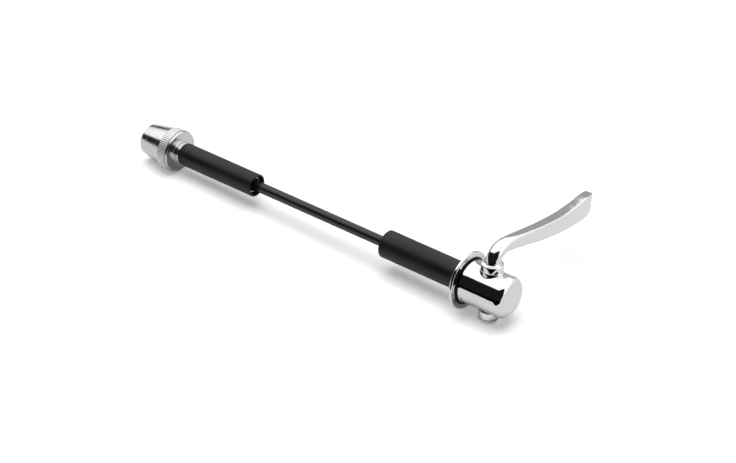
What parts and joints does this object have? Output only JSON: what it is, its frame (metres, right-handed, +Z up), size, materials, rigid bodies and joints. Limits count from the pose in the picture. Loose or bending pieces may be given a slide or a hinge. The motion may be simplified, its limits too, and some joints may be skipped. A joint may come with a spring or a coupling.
{
  "type": "thru axle adapter",
  "caption": "Quick-release skewer with a cam lever head, loose sleeves for thru axle dropouts and a knurled cone nut.",
  "frame": {"origin": "on the skewer's axis, in the plane of the flange's clamping face", "axes": "+X along the skewer towards the lever end, +Y along the closed lever, +Z up the cam shaft towards the arm"},
  "size_m": [0.197, 0.0819, 0.0347],
  "materials": {
    "chrome": "bright chrome plate on steel",
    "lever": "forged and barrel polished",
    "black_rod": "smooth satin black coat on steel",
    "steel": "plain drawn steel",
    "sleeve": "moulded matt black nylon",
    "nylon": "natural nylon"
  },
  "bodies": {
    "head": {"housing": "chrome"},
    "lever": {"lever": "lever", "cam_washer": "steel", "retaining_cap": "chrome"},
    "rod": {"skewer_rod": "black_rod"},
    "near": {"near_sleeve": "sleeve", "near_liner": "steel"},
    "far": {"far_sleeve": "sleeve", "far_liner": "steel"},
    "nut_carrier": {"lock_ring": "nylon"},
    "nut": {"end_nut": "chrome"}
  },
  "joints": [
    {"name": "lever_turn", "type": "hinge", "parent": "head", "child": "lever", "pos_m": [0.012, 0, 0], "axis": [0, 0, -1], "range_deg": [0, 180]},
    {"name": "rod_slide", "type": "slide", "parent": "head", "child": "rod", "axis": [-1, 0, 0], "range_m": [0, 0.0016]},
    {"name": "near_slide", "type": "slide", "parent": "rod", "child": "near", "axis": [-1, 0, 0], "range_m": [0, 0.035]},
    {"name": "far_slide", "type": "slide", "parent": "rod", "child": "far", "axis": [1, 0, 0], "range_m": [0, 0.035]},
    {"name": "nut_travel", "type": "slide", "parent": "rod", "child": "nut_carrier", "axis": [-1, 0, 0], "range_m": [0, 0.004]},
    {"name": "nut_turn", "type": "hinge", "parent": "nut_carrier", "child": "nut", "pos_m": [-0.165, 0, 0], "axis": [-1, 0, 0], "range_deg": [0, 1800]}
  ],
  "couplings": [
    {"joint": "rod_slide", "follows": "lever_turn", "m_per_rad": 0.0005093},
    {"joint": "nut_travel", "follows": "nut_turn", "m_per_rad": 0.00012732}
  ]
}
